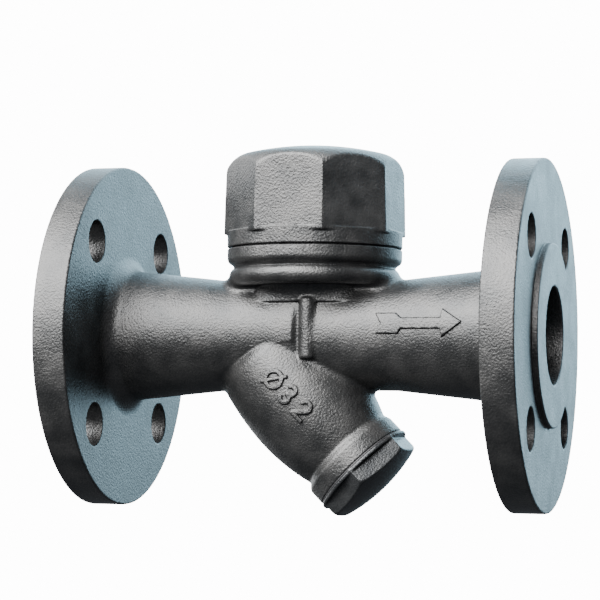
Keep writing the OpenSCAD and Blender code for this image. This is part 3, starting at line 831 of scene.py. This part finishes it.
METALLIC = 0.8
body_steel = cast_skin("cast_steel", (0.045, 0.047, 0.049), (0.10, 0.10, 0.10), 0.7, 0.18, 0.38)
cap_steel = cast_skin("cap_steel", (0.05, 0.052, 0.054), (0.11, 0.11, 0.11), 0.7, 0.20, 0.38)
plug_steel = cast_skin("plug_steel", (0.038, 0.041, 0.045), (0.085, 0.088, 0.09), 0.6, 0.14, 0.38)
valve_steel = turned_metal("valve_steel", (0.45, 0.45, 0.46), (0.62, 0.62, 0.62), 0.22, 0.25,
                           (CAP_X * MM, 0, 0), (0, 0, 1))
screen_steel = turned_metal("screen_steel", (0.42, 0.42, 0.42), (0.6, 0.6, 0.59), 0.3, 0.3,
                            (LEG_X * MM, 0, 0), LEG_AXIS)
graphite = graphite_sheet()


# ---------------------------------------------------------------- pieces
def stand_in(piece, node, body, material):
    """A detailed piece that takes the place of one CAD node."""
    piece.data.materials.clear()
    piece.data.materials.append(material)
    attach(piece, body)
    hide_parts(node)


def grid_piece(name, field, node, step, faces_kept):
    """A field piece that fills its CAD node's box."""
    low, high = box_mm(node)
    return field_piece(name, field, low, high, step, faces_kept)


def casting_box():
    """The body's box, a little longer than the casting between the flanges."""
    low, high = box_mm("trap_body")
    return [HUB_END - 1, low[1], low[2]], [FACE_TO_FACE - HUB_END + 1, high[1], high[2]]


body_piece = field_piece("casting_skin", casting, *casting_box(), 0.4, 190000,
                         ((HUB_END, 1), (FACE_TO_FACE - HUB_END, -1)))
stand_in(body_piece, "trap_body", "casting", body_steel)

low, high = box_mm("inlet_flange")
inlet = field_piece("inlet_flange_skin", flange, low, [HUB_END + 1, high[1], high[2]], 0.5, 110000,
                    ((HUB_END, -1),))
outlet = mirrored(inlet, "outlet_flange_skin",
                  lambda p: flange(p * [-1, 1, 1] + [FACE_TO_FACE, 0, 0]))
stand_in(inlet, "inlet_flange", "casting", body_steel)
stand_in(outlet, "outlet_flange", "casting", body_steel)

stand_in(grid_piece("cap_skin", cap, "cap", 0.34, 170000), "cap", "cap", cap_steel)
stand_in(grid_piece("plug_skin", plug, "strainer_plug", 0.3, 120000), "strainer_plug", "plug",
         plug_steel)
for name, field, node, body in (("seat_ring", seat, "valve_seat", "casting"),
                                ("free_disc", disc, "valve_disc", "disc"),
                                ("cover_shell", inner_cover, "inner_cover", "casting")):
    stand_in(grid_piece(name, field, node, 0.3, 60000), node, body, valve_steel)

cap_base, leg_base = (CAP_X, 0, 0), (LEG_X, 0, 0)
# piece, CAD node, body, material, inner and outer radius, lowest, highest, origin
rings = (
    ("inner_seat_seal", "seat_inner_gasket", "casting", graphite, RISER_R + 0.3, CHANNEL_R0 - 0.2,
     POCKET_Z, SEAT_Z, cap_base),
    ("outer_seat_seal", "seat_outer_gasket", "casting", graphite, CHANNEL_R1 + 0.2, SEAT_R,
     POCKET_Z, SEAT_Z, cap_base),
    ("cap_seal_ring", "cap_gasket", "cap_seal", graphite, SPIGOT_R + 1.5, RING_R - 1.4,
     LAND_Z, CAP_Z, cap_base),
    ("plug_seal_ring", "plug_gasket", "strainer", graphite, PLUG_THREAD_R + 0.3, BOSS_R - 0.2,
     BOSS_A, PLUG_A, leg_base),
    ("top_band", "screen_top_ring", "strainer", screen_steel, SCREEN_R + 0.02, SCREEN_R + 0.7,
     SCREEN_A0, SCREEN_A0 + 2.5, leg_base),
    ("bottom_band", "screen_bottom_ring", "strainer", screen_steel, SCREEN_R + 0.02, SCREEN_R + 0.7,
     SCREEN_A1 - 4, SCREEN_A1, leg_base))
for name, node, body, material, r0, r1, h0, h1, origin in rings:
    soft = 0.3 * min(r1 - r0, h1 - h0)
    axis = (0, 0, 1) if origin is cap_base else LEG_AXIS
    piece = lathe(name, rounded_section(r0, r1, h0, h1, soft), origin, axis)
    stand_in(piece, node, body, material)

stand_in(woven_screen("woven_liner"), "screen_mesh", "strainer", screen_steel)
tube = frame["nodes"]["screen_tube"]
for slot in range(max(1, len(tube.material_slots))):
    if tube.material_slots:
        tube.material_slots[slot].material = screen_steel
    else:
        tube.data.materials.append(screen_steel)


# ---------------------------------------------------------------- floor, light and camera
def floor():
    """A plain pale round floor, well under the part, which hangs in its pipe line."""
    depth, radius, sides = 0.55, 4.0, 96
    turns = [2 * math.pi * i / sides for i in range(sides)]
    rim = [(radius * math.cos(turn), radius * math.sin(turn), -depth) for turn in turns]
    mesh = bpy.data.meshes.new("floor")
    mesh.from_pydata(rim, [], [list(range(sides))])
    piece = bpy.data.objects.new("floor", mesh)
    bpy.context.scene.collection.objects.link(piece)
    s = Shader("floor", 0.0)
    speck = s.noise(60.0, 2.0)
    s.finish(s.mix(speck, (0.74, 0.75, 0.76), (0.78, 0.78, 0.78)), 0.8, s.bump(speck, 0.01))
    piece.data.materials.append(s.material)
    piece.visible_glossy = piece.visible_diffuse = False


def surroundings(panels, gloom, backdrop):
    """A studio as soft-edged panels of light all round; the camera itself sees a white backdrop."""
    world = bpy.data.worlds.new("studio")
    bpy.context.scene.world = world
    world.use_nodes = True
    tree = world.node_tree

    def node(kind, **settings):
        made = tree.nodes.new(kind)
        for key, value in settings.items():
            setattr(made, key, value)
        return made

    def calc(operation, *values):
        made = node("ShaderNodeMath", operation=operation)
        for value, socket in zip(values, made.inputs):
            if isinstance(value, bpy.types.NodeSocket):
                tree.links.new(value, socket)
            else:
                socket.default_value = value
        return made.outputs[0]

    split = node("ShaderNodeSeparateXYZ")
    tree.links.new(node("ShaderNodeTexCoord").outputs["Generated"], split.inputs[0])
    x, y, z = split.outputs
    rise = calc("ARCSINE", z)

    def window(value, low, high, soft):
        made = node("ShaderNodeMapRange", interpolation_type="SMOOTHSTEP")
        away = calc("ABSOLUTE", calc("SUBTRACT", value, math.radians((low + high) / 2)))
        tree.links.new(away, made.inputs["Value"])
        made.inputs["From Min"].default_value = math.radians((high - low) / 2 + soft)
        made.inputs["From Max"].default_value = math.radians((high - low) / 2 - soft)
        return made.outputs["Result"]

    total = node("ShaderNodeCombineXYZ").outputs[0]
    for value, socket in zip(gloom, total.node.inputs):
        socket.default_value = value
    for turn, half, low, high, soft, strength, colour in panels:
        aim_x, aim_y = math.sin(math.radians(turn)), -math.cos(math.radians(turn))
        across = calc("SUBTRACT", calc("MULTIPLY", x, -aim_y), calc("MULTIPLY", y, -aim_x))
        ahead = calc("ADD", calc("MULTIPLY", x, aim_x), calc("MULTIPLY", y, aim_y))
        share = calc("MULTIPLY", window(calc("ARCTAN2", across, ahead), -half, half, soft),
                     window(rise, low, high, soft))
        tint = node("ShaderNodeVectorMath", operation="SCALE")
        tint.inputs[0].default_value = [strength * c for c in colour]
        tree.links.new(share, tint.inputs["Scale"])
        both = node("ShaderNodeVectorMath", operation="ADD")
        tree.links.new(total, both.inputs[0])
        tree.links.new(tint.outputs["Vector"], both.inputs[1])
        total = both.outputs["Vector"]
    light = tree.nodes["Background"]
    tree.links.new(total, light.inputs["Color"])
    seen = node("ShaderNodeBackground")
    seen.inputs["Color"].default_value = (*backdrop, 1)
    pick = node("ShaderNodeMixShader")
    tree.links.new(node("ShaderNodeLightPath").outputs["Is Camera Ray"], pick.inputs[0])
    tree.links.new(light.outputs[0], pick.inputs[1])
    tree.links.new(seen.outputs[0], pick.inputs[2])
    tree.links.new(pick.outputs[0], tree.nodes["World Output"].inputs["Surface"])


def camera():
    """Long lens from the front right, a little under the pipe."""
    yaw, pitch, roll = (math.radians(v) for v in (16.754, 2.897, 0.572))
    ahead = Vector((-math.sin(yaw) * math.cos(pitch), math.cos(yaw) * math.cos(pitch),
                    math.sin(pitch)))
    level = Vector((math.cos(yaw), math.sin(yaw), 0))
    plumb = level.cross(ahead)
    right = math.cos(roll) * level + math.sin(roll) * plumb
    up = math.cos(roll) * plumb - math.sin(roll) * level
    data = bpy.data.cameras.new("camera")
    data.lens, data.sensor_width = 131.3, 36
    eye = bpy.data.objects.new("camera", data)
    bpy.context.scene.collection.objects.link(eye)
    eye.rotation_mode = "QUATERNION"
    eye.rotation_quaternion = Matrix((right, up, -ahead)).transposed().to_quaternion()
    eye.location = (0.28464, -0.69985, -0.025)
    data.clip_start, data.clip_end = 0.01, 60
    bpy.context.scene.camera = eye


floor()
# turn from the front towards +X, half width, lowest, highest, softness (degrees), strength, colour
surroundings([(-30, 46, 8, 76, 10, 12.0, (1.0, 0.985, 0.965)),
              (-30, 24, 28, 58, 14, 9.0, (1.0, 0.985, 0.965)),
              (-112, 30, -15, 45, 14, 3.0, (0.97, 0.99, 1.0)),
              (165, 42, 0, 60, 16, 5.8, (0.55, 0.84, 1.0)),
              (160, 60, 20, 80, 14, 0.5, (0.75, 0.9, 1.0))],
             (0.11, 0.118, 0.13), (14.0, 14.0, 14.0))
camera()
